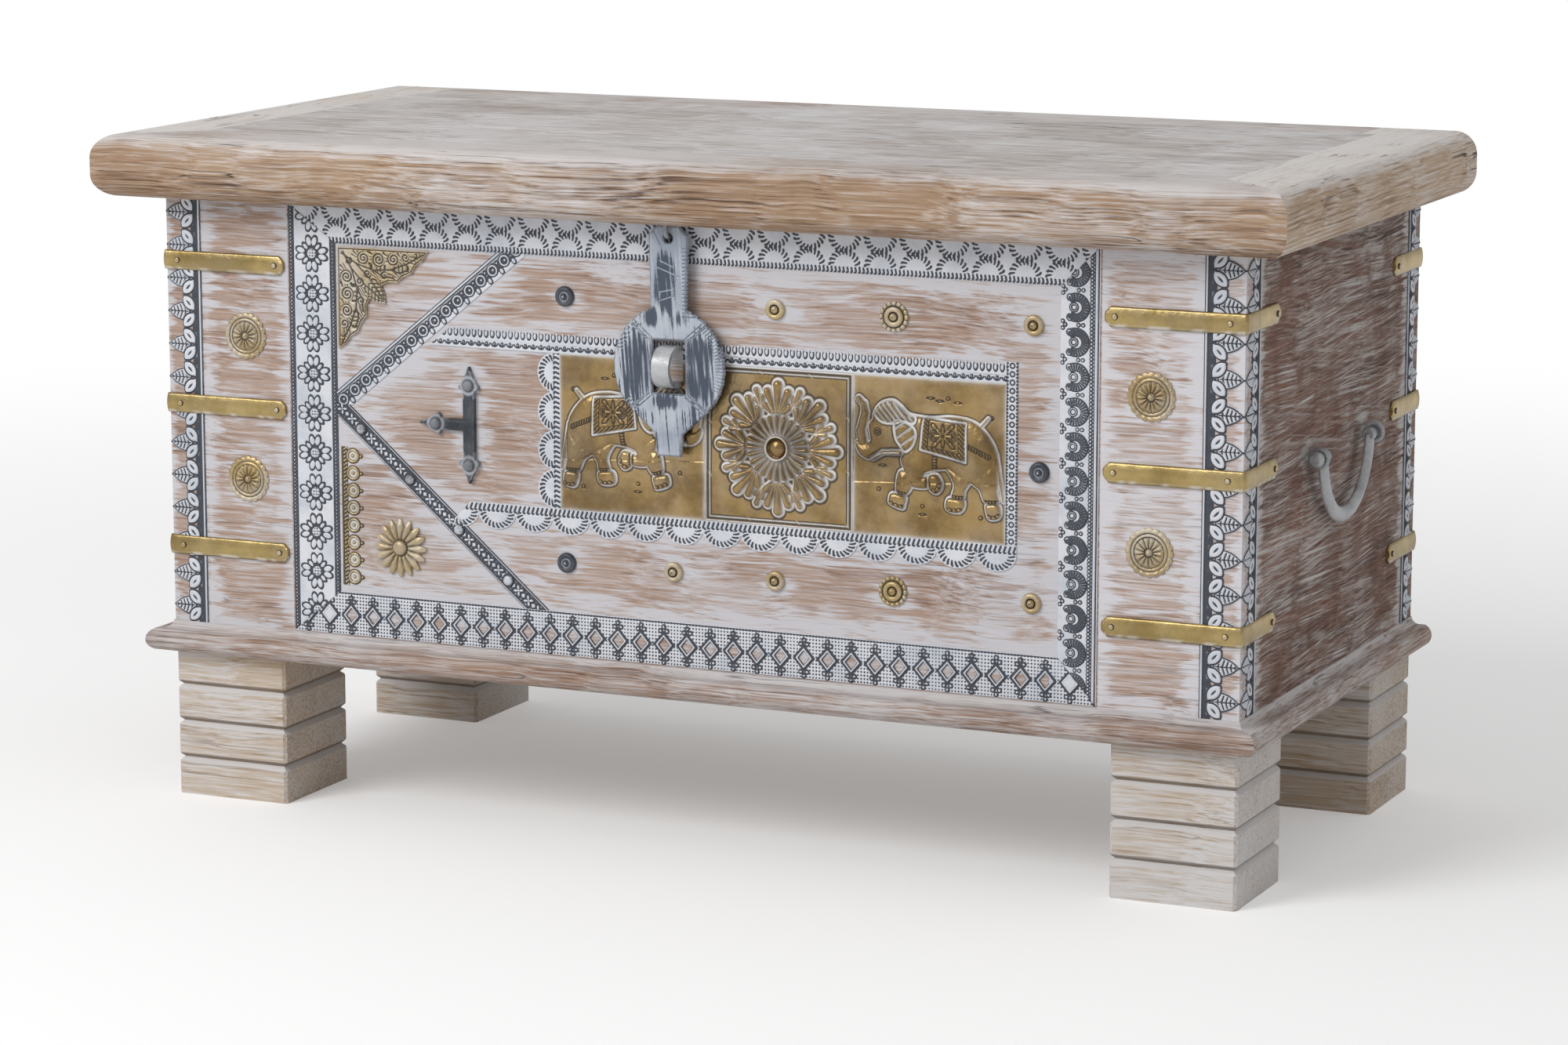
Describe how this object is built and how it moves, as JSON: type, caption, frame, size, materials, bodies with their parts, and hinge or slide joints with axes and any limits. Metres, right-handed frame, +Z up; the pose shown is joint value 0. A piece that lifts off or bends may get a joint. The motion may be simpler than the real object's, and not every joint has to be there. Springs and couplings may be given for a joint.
{
  "type": "inlaid storage chest",
  "caption": "Low wooden storage chest on block feet, with a hinged overhanging lid, side bail handles, a hasp and staple, and embossed metal inlay on its front.",
  "frame": {"origin": "on the floor under the middle of the lid", "axes": "+X to the right along the front, -Y out of the front, +Z up"},
  "size_m": [0.822, 0.393, 0.446],
  "materials": {
    "front_wood": "whitewashed, waxed",
    "side_wood": "brushed, waxed",
    "inner_wood": "bare planed",
    "base_wood": "whitewashed",
    "foot_wood": "whitewashed",
    "lid_wood": "limed, waxed",
    "white_metal": "embossed, whitewashed",
    "brass": "antique, pressed",
    "iron": "blackened, worn"
  },
  "bodies": {
    "chest": {"front_left_stile": "front_wood", "front_panel": "front_wood", "front_right_stile": "front_wood", "left_side_panel": "side_wood", "right_side_panel": "side_wood", "back_panel": "side_wood", "bottom_panel": "inner_wood", "inner_corner_posts": "inner_wood", "foot_pegs": "inner_wood", "base_front_moulding": "base_wood", "base_left_moulding": "base_wood", "base_right_moulding": "base_wood", "base_back_rail": "base_wood", "foot_front_left": "foot_wood", "foot_front_right": "foot_wood", "foot_back_left": "foot_wood", "foot_back_right": "foot_wood", "leaf_trims_front": "white_metal", "leaf_trims_left_side": "white_metal", "leaf_trims_right_side": "white_metal", "top_border_strip": "white_metal", "bottom_border_strip": "white_metal", "left_border_strip": "white_metal", "right_border_strip": "white_metal", "upper_diagonal_strip": "white_metal", "lower_diagonal_strip": "white_metal", "upper_lace_strip": "white_metal", "lower_lace_strip": "white_metal", "plaque_scallop_strip": "white_metal", "plaque_bead_strip": "white_metal", "corner_straps_front": "brass", "corner_straps_back": "brass", "foliage_plaque": "brass", "ring_edging_strip": "brass", "brass_flower": "brass", "elephant_plaque_left": "brass", "rosette_plaque": "brass", "elephant_plaque_right": "brass", "brass_studs": "brass", "flower_studs": "brass", "medallions": "brass", "strap_nails": "brass", "iron_tee": "iron", "iron_studs": "iron", "lock_staple": "iron", "handle_eyes": "iron", "hinge_leaves_body": "iron", "hinge_pins": "iron", "hinge_screws_body": "iron"},
    "lid": {"lid_panel": "lid_wood", "lid_front_rail": "lid_wood", "lid_left_rail": "lid_wood", "lid_right_rail": "lid_wood", "lid_back_rail": "lid_wood", "hinge_leaves_lid": "iron", "hinge_screws_lid": "iron", "hasp_staple": "iron"},
    "hasp": {"hasp": "iron"},
    "left_handle": {"left_handle": "iron"},
    "right_handle": {"right_handle": "iron"}
  },
  "joints": [
    {"name": "lid_hinge", "type": "hinge", "parent": "chest", "child": "lid", "pos_m": [0, 0.1915, 0.405], "axis": [-1, 0, 0], "range_deg": [0, 98]},
    {"name": "hasp_swing", "type": "hinge", "parent": "lid", "child": "hasp", "pos_m": [-0.0035, -0.1695, 0.401], "axis": [-1, 0, 0], "range_deg": [0, 90]},
    {"name": "left_handle_swing", "type": "hinge", "parent": "chest", "child": "left_handle", "pos_m": [-0.38375, 0.0145, 0.263], "axis": [0, 1, 0], "range_deg": [-4, 178]},
    {"name": "right_handle_swing", "type": "hinge", "parent": "chest", "child": "right_handle", "pos_m": [0.38375, 0.0145, 0.263], "axis": [0, -1, 0], "range_deg": [-4, 178]}
  ]
}
